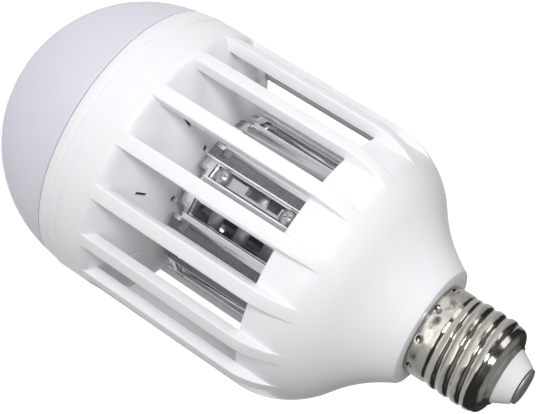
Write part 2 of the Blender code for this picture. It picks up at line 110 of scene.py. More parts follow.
def grainNormal(tree, place, size, strength, depth, detail=2.0, under=None):
    # Grains of one size, on top of the relief whose normal is given as under
    relief = {"Height": patchesOf(tree, place, size, detail), "Strength": strength, "Distance": depth * mm}
    if under:
        relief["Normal"] = under
    return addNode(tree, "ShaderNodeBump", relief)


def patchyRoughness(tree, place, size, least, most, detail=2.0):
    spread = {"Value": patchesOf(tree, place, size, detail), "To Min": least, "To Max": most}
    return addNode(tree, "ShaderNodeMapRange", spread)


def twoTones(tree, place, size, one, two):
    tones = {"Factor": patchesOf(tree, place, size), 6: hexColour(one), 7: hexColour(two)}
    return addNode(tree, "ShaderNodeMix", tones, data_type="RGBA").outputs[2]


# Each material's plain values stand for it wherever the patterns aren't read


def mouldedAbs():
    # Glossy white ABS from a polished mould: an even sheen with a faint waviness and a hint of depth
    material, tree, shader = newMaterial("whiteAbs", {
        "Base Color": hexColour("#F3F4F6"), "Roughness": 0.32, "IOR": 1.53,
        "Subsurface Weight": 0.08, "Subsurface Scale": 2 * mm, "Subsurface Radius": (1.0, 0.9, 0.8),
    })
    place = addNode(tree, "ShaderNodeTexCoord").outputs["Object"]
    setInputs(tree, shader, {
        "Roughness": patchyRoughness(tree, place, size=9, least=0.27, most=0.38),
        "Normal": grainNormal(tree, place, size=0.7, strength=0.05, depth=0.05),
    })
    return material


def frostedPc():
    # Frosted polycarbonate with a diffusing filler: soft, cool and slightly deep, with a fine mist on it
    material, tree, shader = newMaterial("frostedPolycarbonate", {
        "Base Color": hexColour("#E0E1EC"), "Roughness": 0.42, "IOR": 1.58,
        "Subsurface Weight": 0.35, "Subsurface Scale": 4 * mm, "Subsurface Radius": (1.0, 0.95, 1.0),
    })
    place = addNode(tree, "ShaderNodeTexCoord").outputs["Object"]
    setInputs(tree, shader, {
        "Base Color": twoTones(tree, place, 14, "#DCDDE9", "#E4E4EE"),
        "Normal": grainNormal(tree, place, size=0.5, strength=0.12, depth=0.05, detail=3.0),
    })
    return material


def rolledSteel(name, colour, roughness, lineWidth, ribs=None):
    # Cold-rolled sheet: bright, with rolling lines along the bulb's axis and, on some faces, pressed ribs.
    # Real rolling lines are finer and wouldn't show. Values are the lines' width and the ribs' spacing.
    material, tree, shader = newMaterial(name, {
        "Base Color": hexColour(colour), "Metallic": 1.0, "Roughness": roughness,
    })
    place = addNode(tree, "ShaderNodeTexCoord").outputs["Object"]
    stretch = addNode(tree, "ShaderNodeMapping", {"Vector": place, "Scale": (1, 1, 0.03)})
    normal = grainNormal(tree, stretch, lineWidth, strength=0.08, depth=0.02)
    if ribs:
        along = addNode(tree, "ShaderNodeSeparateXYZ", {0: place}).outputs["Z"]
        phase = compute(tree, "MULTIPLY", along, turn / (ribs * mm))
        wave = compute(tree, "SINE", phase)
        normal = addNode(
            tree, "ShaderNodeBump", {"Height": wave, "Strength": 1.0, "Distance": 0.11 * mm, "Normal": normal}
        )
    polish = patchyRoughness(tree, stretch, lineWidth, least=roughness - 0.06, most=roughness + 0.08)
    setInputs(tree, shader, {"Roughness": polish, "Normal": normal})
    return material


def nickelPlate():
    # Bright nickel on brass: a warm mirror with slight haze and shallow dents from handling and crimping
    material, tree, shader = newMaterial("nickelPlate", {
        "Base Color": hexColour("#A3A19A"), "Metallic": 1.0, "Roughness": 0.14,
    })
    place = addNode(tree, "ShaderNodeTexCoord").outputs["Object"]
    pits = grainNormal(tree, place, size=1.2, strength=0.06, depth=0.05)
    setInputs(tree, shader, {
        "Roughness": patchyRoughness(tree, place, size=5, least=0.07, most=0.24, detail=4.0),
        "Normal": grainNormal(tree, place, size=6, strength=1.0, depth=0.8, detail=1.0, under=pits),
    })
    return material


def plainFinish(name, colour, second, roughness, metallic=0.0, grainSize=0.6, grainStrength=0.06):
    # Small parts: a fine grain, and patches in two close tones
    material, tree, shader = newMaterial(name, {
        "Base Color": hexColour(colour), "Roughness": roughness, "Metallic": metallic,
    })
    place = addNode(tree, "ShaderNodeTexCoord").outputs["Object"]
    setInputs(tree, shader, {
        "Base Color": twoTones(tree, place, 4, colour, second),
        "Normal": grainNormal(tree, place, grainSize, grainStrength, depth=0.05),
    })
    return material


whiteAbs = mouldedAbs()
frosted = frostedPc()
nickel = nickelPlate()
gridSteel = rolledSteel("rolledSteel", "#C0C2C5", roughness=0.24, lineWidth=0.25)
# The ribs are real bumps; this sheet's darker colour than the plain sheet is painted shade
ribbedSteel = rolledSteel("ribbedSteel", "#97999D", roughness=0.3, lineWidth=0.25, ribs=0.6)
shearedEdge = rolledSteel("shearedEdge", "#F4F5F6", roughness=0.6, lineWidth=0.3)  # the sheet's cut edges and the bands along the strips' edges, near white as a painted highlight
shadeLineSteel = rolledSteel("dullSteel", "#75777A", roughness=0.35, lineWidth=0.4)  # painted shade: a dark line beside the ribs, where no groove is modelled
mattSteel = rolledSteel("mattSteel", "#B8BABD", roughness=0.5, lineWidth=0.4)  # unpolished inner sheet
screwSteel = rolledSteel("zincScrew", "#B6B8BB", roughness=0.36, lineWidth=0.5)  # headed and zinc-plated
shadedNylon = plainFinish("naturalNylon", "#BFC0C2", "#B4B6B8", 0.5)  # moulded and matt; white nylon painted light grey as its shade
paleMask = plainFinish("paleSolderMask", "#8E9092", "#858789", 0.45)  # epoxy film, half glossy
finishes = {
    "white_plastic": whiteAbs,
    "frosted_diffuser": frosted,
    "grid_steel": gridSteel,
    "nickel_plate": nickel,
    # dip-tinned, so dull and slightly pebbled
    "contact_metal": plainFinish(
        "tinnedContact", "#AEAFB2", "#9A9B9E", 0.5, metallic=1.0, grainSize=0.8, grainStrength=0.1
    ),
    # moulded white resin, smooth and bright
    "insulator_white": plainFinish("glazedInsulator", "#ECEDEC", "#E4E6E6", 0.25),
    # clear anodised sheet, silky
    "board_aluminium": plainFinish(
        "anodisedAluminium", "#D4D6D8", "#C8CACC", 0.45, metallic=1.0, grainSize=0.3, grainStrength=0.1
    ),
    # green epoxy film over glass cloth
    "board_laminate": plainFinish("solderMask", "#1F6B3C", "#185A31", 0.4),
    # yellow silicone over the chips
    "led_phosphor": plainFinish("ledPhosphor", "#F0D36A", "#E6C552", 0.35),
    # tinted epoxy lens, glossy
    "uv_led": plainFinish("violetLens", "#8A6FD0", "#7B60C4", 0.2),
    # polyester tape round the windings
    "coil_black": plainFinish("windingTape", "#2B2B2D", "#222224", 0.5),
    # shrunk vinyl sleeve, glossy
    "capacitor_sleeve": plainFinish("shrinkSleeve", "#1E2430", "#171C26", 0.3),
    # dipped epoxy, glossy and uneven
    "film_capacitor": plainFinish("dippedResin", "#B5372C", "#A52E24", 0.3),
    # soft vinyl, half glossy
    "lead_wire": plainFinish("pvcWire", "#B32A22", "#A3251E", 0.45),
}

for entry in frame["record"]["subparts"]:
    finish = finishes[entry["material_slot"]]
    # The light boards show through the grid, where the photograph has only greys
    if entry["node"].startswith("uv_board"):
        finish = paleMask
    for slot in frame["nodes"][entry["node"]].material_slots:
        slot.material = finish


# Helpers for meshes


def meshObject(name, bm, recalc=True):
    if recalc:
        bmesh.ops.recalc_face_normals(bm, faces=bm.faces[:])
    mesh = bpy.data.meshes.new(name)
    bm.to_mesh(mesh)
    bm.free()
    piece = bpy.data.objects.new(name, mesh)
    bpy.context.scene.collection.objects.link(piece)
    return piece


def thickenSheet(piece, thickness, rimOffset=0):
    sheet = piece.modifiers.new("sheet", "SOLIDIFY")
    sheet.thickness = thickness * mm
    sheet.offset = -1
    sheet.material_offset_rim = rimOffset


def finishPiece(piece, replaced, material=None, sharp=38):
    if material and not piece.data.materials:
        piece.data.materials.append(material)
    piece.data.shade_smooth()
    piece.data.set_sharp_from_angle(angle=math.radians(sharp))
    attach(piece, "root")
    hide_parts(*replaced)


def addRing(bm, radius, drop, facets):
    # A ring of points round the axis, or a single point on it
    count = facets if radius else 1
    return [bm.verts.new(pointAt(radius, turn * k / facets, drop)) for k in range(count)]


def joinRings(bm, rings, facets):
    for one, two in zip(rings, rings[1:]):
        for k in range(facets):
            after = (k + 1) % facets
            corners = [one[k % len(one)], one[after % len(one)], two[after % len(two)], two[k % len(two)]]
            bm.faces.new(list(dict.fromkeys(corners)))


def spinOutline(bm, outline, facets):
    # outline holds (radius, drop) points. It may end on the axis, and is closed otherwise.
    rings = [addRing(bm, radius, drop, facets) for radius, drop in outline]
    onAxis = outline[0][0] == 0 and outline[-1][0] == 0
    joinRings(bm, rings if onAxis else rings + rings[:1], facets)


def spunObject(name, outline, facets):
    bm = bmesh.new()
    spinOutline(bm, outline, facets)
    return meshObject(name, bm)


def arcPoints(centre, radius, start, end, steps):
    # start and end in degrees, in the (radius, drop) plane
    points = []
    for i in range(steps + 1):
        a = math.radians(start + (end - start) * i / steps)
        points.append((centre[0] + radius * math.cos(a), centre[1] + radius * math.sin(a)))
    return points


# Helpers for geometry node trees


def newTree(name, inputs):
    # Every tree has a Material input besides those given
    tree = bpy.data.node_groups.new(name, "GeometryNodeTree")
    tree.interface.new_socket("Geometry", in_out="INPUT", socket_type="NodeSocketGeometry")
    for label, kind in {**inputs, "Material": "Material"}.items():
        tree.interface.new_socket(label, in_out="INPUT", socket_type="NodeSocket" + kind)
    tree.interface.new_socket("Geometry", in_out="OUTPUT", socket_type="NodeSocketGeometry")
    return tree, addNode(tree, "NodeGroupInput").outputs


def endTree(tree, given, geometry, chosen=True):
    # Sets the material, on all faces or on those that are chosen
    painted = addNode(
        tree, "GeometryNodeSetMaterial",
        {"Geometry": geometry, "Selection": chosen, "Material": given["Material"]},
    )
    addNode(tree, "NodeGroupOutput", {0: painted})
    return tree


def addCopies(tree, given, original):
    # Copies round the bulb's axis, made real
    points = addNode(tree, "GeometryNodePoints", {"Count": given["Count"]})
    index = addNode(tree, "GeometryNodeInputIndex")
    share = compute(tree, "DIVIDE", index, given["Count"])
    angle = compute(tree, "MULTIPLY_ADD", share, turn, given["First Angle"])
    spin = addNode(tree, "ShaderNodeCombineXYZ", {"Z": angle})
    copies = addNode(
        tree, "GeometryNodeInstanceOnPoints", {"Points": points, "Instance": original, "Rotation": spin}
    )
    return addNode(tree, "GeometryNodeRealizeInstances", {"Geometry": copies})


def ringTree(name, ownMaterials=False):
    # Copies its input round the axis and joins the copies. With ownMaterials, only the faces of the first
    # material get the one that is given.
    tree, given = newTree(name, {"Count": "Int", "First Angle": "Float", "Join Distance": "Float"})
    joined = addNode(
        tree, "GeometryNodeMergeByDistance",
        {"Geometry": addCopies(tree, given, given["Geometry"]), "Distance": given["Join Distance"]},
    )
    if not ownMaterials:
        return endTree(tree, given, joined)
    number = addNode(tree, "GeometryNodeInputMaterialIndex")
    first = compute(tree, "LESS_THAN", number, 0.5)
    return endTree(tree, given, joined, first)


def cutTree(name):
    # Cuts a ring of copies of a tool out of its input
    tree, given = newTree(name, {"Tool": "Object", "Count": "Int", "First Angle": "Float"})
    tool = addNode(tree, "GeometryNodeObjectInfo", {"Object": given["Tool"]})
    cut = addNode(
        tree, "GeometryNodeMeshBoolean",
        {0: given["Geometry"], 1: addCopies(tree, given, tool.outputs["Geometry"])},
        operation="DIFFERENCE", solver="EXACT",
    )
    return endTree(tree, given, cut)


def bakeTree(piece, tree, values):
    # Runs a node tree on a piece and keeps the result as its plain mesh
    modifier = piece.modifiers.new("build", "NODES")
    modifier.node_group = tree
    for item in tree.interface.items_tree:
        if item.item_type == "SOCKET" and item.in_out == "INPUT" and item.name in values:
            modifier[item.identifier] = values[item.name]
    bpy.context.view_layer.update()
    graph = bpy.context.evaluated_depsgraph_get()
    mesh = bpy.data.meshes.new_from_object(piece.evaluated_get(graph))
    piece.modifiers.remove(modifier)
    old = piece.data
    piece.data = mesh
    bpy.data.meshes.remove(old)
    mesh.name = piece.name


ringOfCopies = ringTree("ringOfCopies")
ringOfSheets = ringTree("ringOfSheets", ownMaterials=True)
ringOfCuts = cutTree("ringOfCuts")


print("camera")

camera = {
    "place": (55.9, -378.56, 52.87),
    "turned": (-56.495, -52.583, 161.074),
    "lens": 100.1,
    "sensor": 36.0,
    "shift": (0.00317, 0.00794),
    "clipStart": 10.0,
}
view = bpy.data.cameras.new("camera")
view.sensor_width = camera["sensor"]
view.lens = camera["lens"]
view.shift_x, view.shift_y = camera["shift"]
view.clip_start = camera["clipStart"] * mm
viewer = bpy.data.objects.new("camera", view)
viewer.location = Vector(camera["place"]) * mm
viewer.rotation_euler = [math.radians(a) for a in camera["turned"]]
bpy.context.scene.collection.objects.link(viewer)
bpy.context.scene.camera = viewer


# The housing is one moulding with neck, shoulder, bars and collar
print("housing")

housing = {
    "bodyRadius": 40.5,
    "neckRadius": 17.0,
    "neckEdge": ((0.0, -0.35), (0.08, -0.1), (0.3, 0.12)),  # drops, and lengths outside the neck's radius
    "shoulderRadius": 26.0,
    "shoulderDrop": 36.0,
    "shoulderSlope": 54.0,
    "wall": 2.2,
    "bars": 16,
    "firstBar": 281.25,
    "barWidth": 4.3,
    "barDepth": 3.3,
    "barRound": 0.35,
    "draft": 0.02,  # how much wider a bar is at its foot
    "ribFillet": 0.5,
    "ribEnd": 89.5,
    "recessRadius": 37.4,
    "recessBore": 35.4,
    "recessBlend": 1.2,
    "slotStart": 35.0,
    "slotEnd": 81.8,
    "slotEdge": 0.1,
    "collarRound": 3.0,
    "funnelSlope": 30.5,
    "collarEnd": 99.6,
    "collarBore": 38.6,
    "lipRadius": 39.9,
    "lipEdge": ((0.35, 0.0), (0.1, 0.1), (0.0, 0.35)),  # lengths before the collar's end and inside the lip
    "taperStart": 1.4,
    "mouthChamfer": 0.2,
    "lowerGroove": 93.1,
    "upperGroove": 96.2,
    "grooveDepth": 0.3,
    "grooveHalfWidth": 0.35,
    "grooveFloor": 0.04,
    "pressedHalfWidth": 0.1,
    "plainStart": 333.75,
    "plainSweep": 30.0,
    "plateLedge": 31.0,
    "ledgeWidth": 2.0,
    "headLedge": 83.3,
    "spigotRadius": 11.4,
    "spigotBore": 9.4,
    "spigotLength": 10.0,
}


def shoulderShape(h):
    # Centres of the convex and the hollow arc of the shoulder, the hollow arc's radius and where they meet
    slope = math.radians(h["shoulderSlope"])
    convex = (h["bodyRadius"] - h["shoulderRadius"], h["shoulderDrop"])
    meet = (
        convex[0] + h["shoulderRadius"] * math.cos(slope),
        convex[1] - h["shoulderRadius"] * math.sin(slope),
    )
    normal = (math.cos(slope), -math.sin(slope))
    reach = (h["neckRadius"] - meet[0], -meet[1])
    flare = (reach[0] ** 2 + reach[1] ** 2) / (2 * (reach[0] * normal[0] + reach[1] * normal[1]))
    hollow = (meet[0] + flare * normal[0], meet[1] + flare * normal[1])
    return convex, hollow, flare, meet


def outerRadius(drop, h, shape):
    convex, hollow, flare, meet = shape
    if drop >= convex[1]:
        return h["bodyRadius"]
    if drop >= meet[1]:
        return convex[0] + math.sqrt(h["shoulderRadius"] ** 2 - (convex[1] - drop) ** 2)
    return hollow[0] - math.sqrt(flare**2 - (drop - hollow[1]) ** 2)


def softMin(a, b, reach):
    # The smaller of two lengths, with the corner between them rounded over
    near = max(reach - abs(a - b), 0) / reach
    return min(a, b) - near * near * reach / 4


def housingSector(h):
    # One bar with half of the slot on each side. Rows run along the wall's outline, columns round the body.
    shape = shoulderShape(h)
    convex, hollow, flare, meet = shape
    half = h["barWidth"] / 2
    edge = h["barRound"]
    fillet = h["ribFillet"]
    foot = half + h["draft"]
    columns = [0, half * 0.45] + [half - edge * share for share in (1, 0.62, 0.32, 0.1, 0)]
    columns += [foot + fillet * share for share in (0, 0.06, 0.25, 0.55, 1)]
    spare = turn / h["bars"] * h["bodyRadius"] / 2 - (foot + fillet)
    columns += [foot + fillet + spare * i / 5 for i in range(1, 6)]
    columns = [-c for c in reversed(columns[1:])] + columns
    lastBarColumn = max(i for i, c in enumerate(columns) if c <= half + hair)
    firstBarColumn = len(columns) - 1 - lastBarColumn

    def blend(y, top, low):
        # From the bar's rounded top down to the filleted surface beside it
        y = abs(y)
        step = top - low
        if step <= 0:
            return top
        if y <= half + hair:
            across = max(0.0, y - (half - edge)) / edge
            return top - min(edge, step / 2) * (1 - math.sqrt(max(0.0, 1 - across**2)))
        across = min(1.0, max(0.0, (foot + fillet - y) / fillet))
        return low + min(fillet, step / 2) * (1 - math.sqrt(max(0.0, 1 - across**2)))

    rows = []  # each row is (drop, radius as a function of the distance from the bar's middle)

    def plainRow(drop, radius):
        rows.append((drop, lambda y: radius))

    def ribRow(drop, low=None, top=None):
        upper = outerRadius(drop, h, shape) if top is None else top
        lower = softMin(upper, h["recessRadius"], h["recessBlend"]) if low is None else low
        rows.append((drop, lambda y: blend(y, upper, lower)))

    # outer wall, from the neck's end towards the dome
    for drop, outward in h["neckEdge"]:
        plainRow(drop, h["neckRadius"] + outward)
    edgeEnd = h["neckEdge"][-1][0]
    steps = 11
    for i in range(1, steps):
        ribRow(edgeEnd + (meet[1] - edgeEnd) * i / steps)
    slope = math.radians(h["shoulderSlope"])
    last = math.asin((convex[1] - h["slotStart"]) / h["shoulderRadius"])
    steps = 18
    for i in range(steps):
        a = slope + (last - slope) * i / steps
        ribRow(convex[1] - h["shoulderRadius"] * math.sin(a))
    ribRow(h["slotStart"] - 2.5 * h["slotEdge"])
    slotStartOuter = len(rows)
    ribRow(h["slotStart"], low=h["recessRadius"] - 2 * h["slotEdge"])
    slotEndOuter = len(rows)
    # The slot ends on the funnel's line, and the collar's edge rounds over from it without a break
    body = h["bodyRadius"]
    bore = body - h["barDepth"]
    funnel = math.radians(h["funnelSlope"])
    ribRow(h["slotEnd"] + h["slotEdge"] * math.tan(funnel), low=bore + h["slotEdge"], top=body)
    tangent = h["collarRound"] * math.tan((math.pi / 2 - funnel) / 2)
    corner = h["slotEnd"] + h["barDepth"] * math.tan(funnel)
    centre = (body - h["collarRound"], corner + tangent)
    for radius, drop in arcPoints(centre, h["collarRound"], h["funnelSlope"] - 90, 0, 8):
        ribRow(drop, low=radius, top=body)
    plainRow(h["ribEnd"], body)
    # three rows for the lower groove, which its own tree presses in, and then the upper groove and the lip
    reach = h["grooveHalfWidth"]
    for offset in (-reach, 0, reach):
        plainRow(h["lowerGroove"] + offset, body)
    taper = body - h["lipRadius"]
    floor = h["grooveFloor"]
    depth = h["grooveDepth"]
    for offset, inward in ((-reach, 0), (-floor, depth), (floor, depth + floor / 2), (reach, taper * 0.3)):
        plainRow(h["upperGroove"] + offset, body - inward)
    end = h["collarEnd"]
    plainRow(end - h["taperStart"], body - taper * 0.75)
    for back, inward in h["lipEdge"]:
        plainRow(end - back, h["lipRadius"] - inward)
    # inner wall, back towards the neck
    plainRow(end, h["collarBore"] + h["mouthChamfer"])
    plainRow(end - h["mouthChamfer"], h["collarBore"])
    plainRow(h["headLedge"], h["collarBore"])
    plainRow(h["headLedge"], bore)
    slotEndInner = len(rows)
    rows.append((h["slotEnd"], lambda y: bore if abs(y) > half + hair else 2 * bore - blend(y, bore, 0)))
    slotStartInner = len(rows)
    rows.append((h["slotStart"], lambda y: 2 * bore - blend(min(abs(y), half), bore, 0)))
    shoulderInner = len(rows)
    plainRow(h["slotStart"], h["recessBore"])
    plainRow(h["plateLedge"], h["recessBore"])
    ledge = h["recessBore"] - h["ledgeWidth"]
    plainRow(h["plateLedge"], ledge)
    innerRadius = h["shoulderRadius"] - h["wall"]
    start = math.degrees(math.acos((ledge - convex[0]) / innerRadius))
    for radius, drop in arcPoints(convex, innerRadius, -start, -h["shoulderSlope"], 6):
        plainRow(drop, radius)
    for i in range(1, 7):
        drop = meet[1] + (h["wall"] - meet[1]) * i / 6
        plainRow(drop, hollow[0] - math.sqrt((flare + h["wall"]) ** 2 - (drop - hollow[1]) ** 2))
    plainRow(h["wall"], h["spigotBore"])
    plainRow(-h["spigotLength"], h["spigotBore"])
    plainRow(-h["spigotLength"], h["spigotRadius"])
    plainRow(0.0, h["spigotRadius"])

    bm = bmesh.new()
    grid = []
    for drop, radiusAt in rows:
        row = []
        for y in columns:
            row.append(bm.verts.new(pointAt(radiusAt(y), y / body, drop)))
        grid.append(row)

    barColumns = range(firstBarColumn, lastBarColumn)
    barOnly = {slotStartOuter, slotEndInner, slotStartInner}
    for i in range(len(rows)):
        j = (i + 1) % len(rows)
        for k in range(len(columns) - 1):
            if k in barColumns or i not in barOnly:
                bm.faces.new((grid[i][k], grid[i][k + 1], grid[j][k + 1], grid[j][k]))
    # the slots' ends
    for k in range(len(columns) - 1):
        if k in barColumns:
            continue
        start = [grid[slotStartOuter][k], grid[slotStartOuter][k + 1]]
        if k + 1 == firstBarColumn:
            start.append(grid[slotStartInner][k + 1])
        start += [grid[shoulderInner][k + 1], grid[shoulderInner][k]]
        if k == lastBarColumn:
            start.append(grid[slotStartInner][k])
        bm.faces.new(start)
        bm.faces.new((
            grid[slotEndOuter][k + 1], grid[slotEndOuter][k],
            grid[slotEndInner][k], grid[slotEndInner][k + 1],
        ))
    # the bar's two sides
    for k in (firstBarColumn, lastBarColumn):
        bm.faces.new((
            grid[slotStartOuter][k], grid[slotEndOuter][k], grid[slotEndInner][k], grid[slotStartInner][k],
        ))
    loose = [v for v in bm.verts if not v.link_faces]
    bmesh.ops.delete(bm, geom=loose, context="VERTS")
    return meshObject("housing", bm, recalc=False)


def grooveTree(name):
    # Presses one fine groove into the collar, with a plain stretch where the groove stops
    labels = ("Level", "Half Width", "Depth", "Plain Start", "Plain Sweep", "Least Radius")
    tree, given = newTree(name, {label: "Float" for label in labels})
    position = addNode(tree, "GeometryNodeInputPosition")
    parts = addNode(tree, "ShaderNodeSeparateXYZ", {0: position})
    away = compute(tree, "SUBTRACT", parts.outputs[2], given["Level"])
    distance = compute(tree, "ABSOLUTE", away)
    near = compute(tree, "LESS_THAN", distance, given["Half Width"])
    angle = compute(tree, "ARCTAN2", parts.outputs[1], parts.outputs[0])
    past = compute(tree, "SUBTRACT", angle, given["Plain Start"])
    wrapped = compute(tree, "WRAP", past, turn, 0.0)
    cut = compute(tree, "GREATER_THAN", wrapped, given["Plain Sweep"])
    # from the point to the axis
    flat = addNode(tree, "ShaderNodeVectorMath", {0: position, 1: (-1.0, -1.0, 0.0)}, operation="MULTIPLY")
    inward = addNode(tree, "ShaderNodeVectorMath", {0: flat}, operation="NORMALIZE")
    radius = addNode(tree, "ShaderNodeVectorMath", {0: flat}, operation="LENGTH").outputs["Value"]
    outside = compute(tree, "GREATER_THAN", radius, given["Least Radius"])
    both = compute(tree, "MULTIPLY", near, cut)
    here = compute(tree, "MULTIPLY", both, outside)
    depth = compute(tree, "MULTIPLY", here, given["Depth"])
    move = addNode(tree, "ShaderNodeVectorMath", {0: inward, "Scale": depth}, operation="SCALE")
    shaped = addNode(tree, "GeometryNodeSetPosition", {"Geometry": given["Geometry"], "Offset": move})
    return endTree(tree, given, shaped)


def repairNormals(piece):
    bm = bmesh.new()
    bm.from_mesh(piece.data)
    bmesh.ops.recalc_face_normals(bm, faces=bm.faces[:])
    bm.to_mesh(piece.data)
    bm.free()


def makeHousing(h):
    piece = housingSector(h)
    bakeTree(piece, ringOfCopies, {
        "Count": h["bars"], "First Angle": math.radians(h["firstBar"]),
        "Join Distance": joinDistance, "Material": whiteAbs,
    })
    bakeTree(piece, grooveTree("collarGroove"), {
        "Level": heightOf(h["lowerGroove"]), "Half Width": h["pressedHalfWidth"] * mm,
        "Depth": h["grooveDepth"] * mm, "Plain Start": math.radians(h["plainStart"]),
        "Plain Sweep": math.radians(h["plainSweep"]), "Least Radius": (h["bodyRadius"] - 1) * mm,
        "Material": whiteAbs,
    })
    repairNormals(piece)
    finishPiece(piece, ["main_housing"])


makeHousing(housing)


print("dome")

dome = {
    "tipDrop": 135.7, "seatDrop": 99.9, "seatRadius": 39.75, "wall": 1.6, "skirt": 4.5, "skirtRadius": 38.3,
    "rimAngle": 0.5, "rimEdge": ((0.1, 0.05), (0.3, 0.0)), "facets": 128,
}


def makeDome(d):
    height = d["tipDrop"] - d["seatDrop"]
    radius = (d["seatRadius"] ** 2 + height**2) / (2 * height)
    centre = d["tipDrop"] - radius
    rim = math.degrees(math.asin((d["seatDrop"] - centre) / radius))
    outline = arcPoints((0, centre), radius, 90, rim + d["rimAngle"], 40)
    outline[0] = (0, d["tipDrop"])
    outline += [(d["seatRadius"] - inward, d["seatDrop"] + up) for inward, up in d["rimEdge"]]
    bore = d["skirtRadius"] - d["wall"]
    skirtEnd = d["seatDrop"] - d["skirt"]
    outline += [(d["skirtRadius"], d["seatDrop"]), (d["skirtRadius"], skirtEnd), (bore, skirtEnd)]
    inner = radius - d["wall"]
    innerRim = -math.degrees(math.acos(bore / inner))
    outline += arcPoints((0, centre), inner, innerRim, 90, 24)
    outline[-1] = (0, centre + inner)
    piece = spunObject("domeShell", outline, d["facets"])
    finishPiece(piece, ["diffuser_dome"], frosted)


makeDome(dome)


# The head base is the white cone with its slits, behind the bars
print("head base")

headBase = {
    "endDrop": 69.3, "endRadius": 16.0, "endEdge": ((-0.6, 0.0), (-0.1, 0.15), (0.4, 0.5)), "slotEnd": 81.8,
    "coneRadius": 37.18, "shelfDrop": 83.6, "rimRadius": 38.3, "rimEnd": 91.0, "wall": 0.8, "leadHole": 4.0,
    "slits": 8, "firstSlit": 256.5, "slitLength": 3.5, "slitWidth": 0.95, "slitPlace": 0.61,
    "slitDepth": 12.0, "holeRadius": 0.9, "holePlace": 0.21, "holeDepth": 8.0, "facets": 96,
}


def makeHeadBase(h):
    slope = (h["slotEnd"] - h["endDrop"]) / (h["coneRadius"] - h["endRadius"])

    def onCone(share):
        radius = h["endRadius"] + share * (h["coneRadius"] - h["endRadius"])
        return radius, h["endDrop"] + slope * (radius - h["endRadius"])

    bore = h["rimRadius"] - h["wall"]
    underDrop = h["endDrop"] + h["wall"] * math.sqrt(1 + slope**2) + slope * (bore - h["endRadius"])
    outline = [(0, h["endDrop"]), (h["leadHole"], h["endDrop"])]
    outline += [(h["endRadius"] + outward, h["endDrop"] + up) for outward, up in h["endEdge"]]
    outline += [onCone(i / 8) for i in range(1, 8)]
    edge = h["endRadius"] + h["endEdge"][0][0]
    outline += [
        (h["coneRadius"], h["slotEnd"]), (h["coneRadius"], h["shelfDrop"]), (h["rimRadius"], h["shelfDrop"]),
        (h["rimRadius"], h["rimEnd"]), (bore, h["rimEnd"]), (bore, underDrop),
        (edge, h["endDrop"] + h["wall"]), (0, h["endDrop"] + h["wall"]),
    ]
    piece = spunObject("headCone", outline, h["facets"])
    tool = bmesh.new()
    radius, drop = onCone(h["slitPlace"])
    place = Matrix.Translation((radius * mm, 0, heightOf(drop)))
    size = Matrix.Diagonal((h["slitLength"] * mm, h["slitWidth"] * mm, h["slitDepth"] * mm, 1))
    bmesh.ops.create_cube(tool, size=1, matrix=place @ size)
    radius, drop = onCone(h["holePlace"])
    bmesh.ops.create_cone(
        tool, cap_ends=True, segments=24, radius1=h["holeRadius"] * mm, radius2=h["holeRadius"] * mm,
        depth=h["holeDepth"] * mm, matrix=Matrix.Translation((radius * mm, 0, heightOf(drop))),
    )
    cutter = meshObject("slitTool", tool)
    bakeTree(piece, ringOfCuts, {
        "Tool": cutter, "Count": h["slits"], "First Angle": math.radians(h["firstSlit"]),
        "Material": whiteAbs,
    })
    bpy.data.objects.remove(cutter)
    finishPiece(piece, ["head_base"])


makeHeadBase(headBase)


print("electric grid")

cage = {
    "radius": 25.0,
    "flats": 28,
    "firstStrip": 281.25,
    "start": 34.1,
    "end": 69.0,
    "sheet": 0.45,
    "stripEdges": (-2.85, 3.4),
    "recessStart": 37.4,
    "recessEnd": 64.9,
    "recessDepth": 0.9,
    "pressWidth": 0.12,
    "margins": (0.1, 0.45),
    # the width of the line of painted shade at each strip's middle
    "lineWidth": 0.2,
    # the width of the bands of painted highlight along each strip's edges
    "highlightWidth": 0.35,
    "windowStart": 38.2,
    "windowEnd": 64.3,
    "flange": 1.5,
    "foldWidth": 0.1,
    "plainStrips": (230.0, 50.0),
    "holeSize": 2.3,
    "holeDrop": 64.5,
    "notchWidth": 2.9,
    "notchDepth": 2.7,
    "seamAngle": 242.7,
    "lapLift": 0.1,
    "lapInset": 0.4,
}


def sheetSector(columns, rows, place, isOpen, materialAt=None):
    # One sector of a stamped sheet. Cells are left out where isOpen says so; place gives each corner.
    bm = bmesh.new()
    corners = [[bm.verts.new(place(c, r)) for c in columns] for r in rows]
    for i in range(len(rows) - 1):
        for k in range(len(columns) - 1):
            middle = ((columns[k] + columns[k + 1]) / 2, (rows[i] + rows[i + 1]) / 2)
            if isOpen(*middle):
                continue
            face = bm.faces.new((corners[i][k], corners[i + 1][k], corners[i + 1][k + 1], corners[i][k + 1]))
            if materialAt:
                face.material_index = materialAt(*middle)
    return bm, corners


